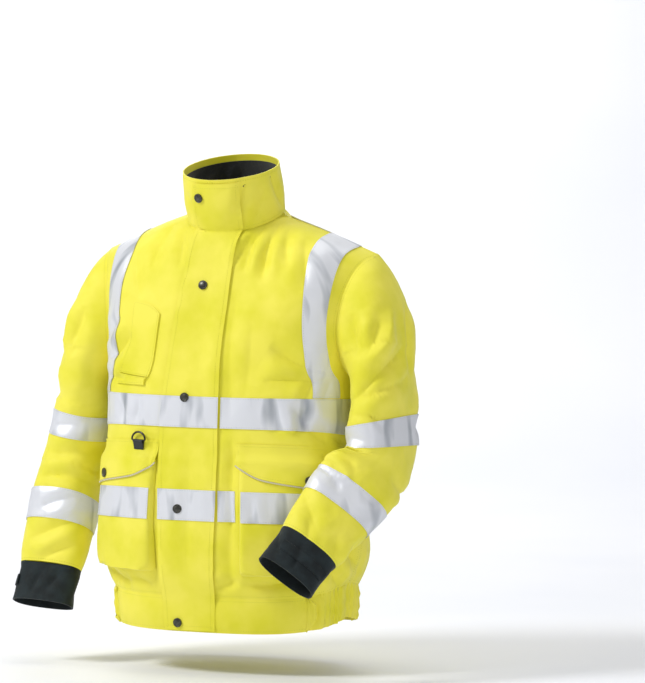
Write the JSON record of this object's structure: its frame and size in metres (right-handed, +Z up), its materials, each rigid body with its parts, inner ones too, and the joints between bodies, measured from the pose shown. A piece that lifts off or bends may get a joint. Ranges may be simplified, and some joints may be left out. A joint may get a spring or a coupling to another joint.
{
  "type": "hi-vis work jacket",
  "caption": "Hooded high-visibility work jacket, filled out as worn, with storm flap, bellows pockets, reflective tape and a gathered hem.",
  "frame": {"origin": "midway between the two points where the shoulder seams meet the neck", "axes": "+Z up, -Y the wearer's front, +X the wearer's left"},
  "size_m": [0.6848, 0.4169, 0.7717],
  "materials": {
    "yellow_cloth": "fluorescent yellow coated polyester, plain weave",
    "reflective_tape": "silver retroreflective tape",
    "dark_rib": "near-black cuff cloth",
    "black_webbing": "black woven cloth and webbing",
    "ring_steel": "black-oxide plated steel wire",
    "gunmetal": "gunmetal snap caps",
    "piping": "pale grey piping",
    "hood_lining": "off-white lining",
    "pale_strip": "pale yellow strip"
  },
  "bodies": {
    "jacket": {"back": "yellow_cloth", "brace_left": "reflective_tape", "brace_right": "reflective_tape", "chest_pocket": "yellow_cloth", "chest_welt": "yellow_cloth", "collar": "yellow_cloth", "collar_lining": "black_webbing", "cuff_left": "dark_rib", "cuff_right": "dark_rib", "cuff_tab_left": "dark_rib", "cuff_tab_right": "dark_rib", "d_ring_tab": "black_webbing", "flap_piping_left": "piping", "flap_piping_right": "piping", "front_left": "yellow_cloth", "front_right": "yellow_cloth", "hanger_loop": "yellow_cloth", "hem_back": "yellow_cloth", "hem_left": "yellow_cloth", "hem_right": "yellow_cloth", "hem_side_left": "yellow_cloth", "hem_side_right": "yellow_cloth", "hood_lining": "hood_lining", "hood_shell": "yellow_cloth", "hood_strip": "pale_strip", "hood_tab": "yellow_cloth", "pocket_flap_left": "yellow_cloth", "pocket_flap_right": "yellow_cloth", "pocket_left": "yellow_cloth", "pocket_right": "yellow_cloth", "pocket_snap_left": "gunmetal", "pocket_snap_right": "gunmetal", "sleeve_left": "yellow_cloth", "sleeve_right": "yellow_cloth", "snap_1": "gunmetal", "snap_2": "gunmetal", "snap_3": "gunmetal", "snap_4": "gunmetal", "snap_5": "gunmetal", "storm_flap": "yellow_cloth", "tape_lower_back": "reflective_tape", "tape_lower_flap": "reflective_tape", "tape_lower_front_left": "reflective_tape", "tape_lower_front_right": "reflective_tape", "tape_lower_side_left": "reflective_tape", "tape_lower_side_right": "reflective_tape", "tape_pocket_left": "reflective_tape", "tape_pocket_right": "reflective_tape", "tape_sleeve_lower_left": "reflective_tape", "tape_sleeve_lower_right": "reflective_tape", "tape_sleeve_upper_left": "reflective_tape", "tape_sleeve_upper_right": "reflective_tape", "tape_upper_back": "reflective_tape", "tape_upper_flap": "reflective_tape", "tape_upper_front_left": "reflective_tape", "tape_upper_front_right": "reflective_tape"},
    "ring": {"d_ring": "ring_steel"}
  },
  "joints": [
    {"name": "ring_hinge", "type": "hinge", "parent": "jacket", "child": "ring", "pos_m": [-0.10815, -0.14589, -0.36625], "axis": [0.9678, -0.2519, 0], "range_deg": [0, 110]}
  ]
}
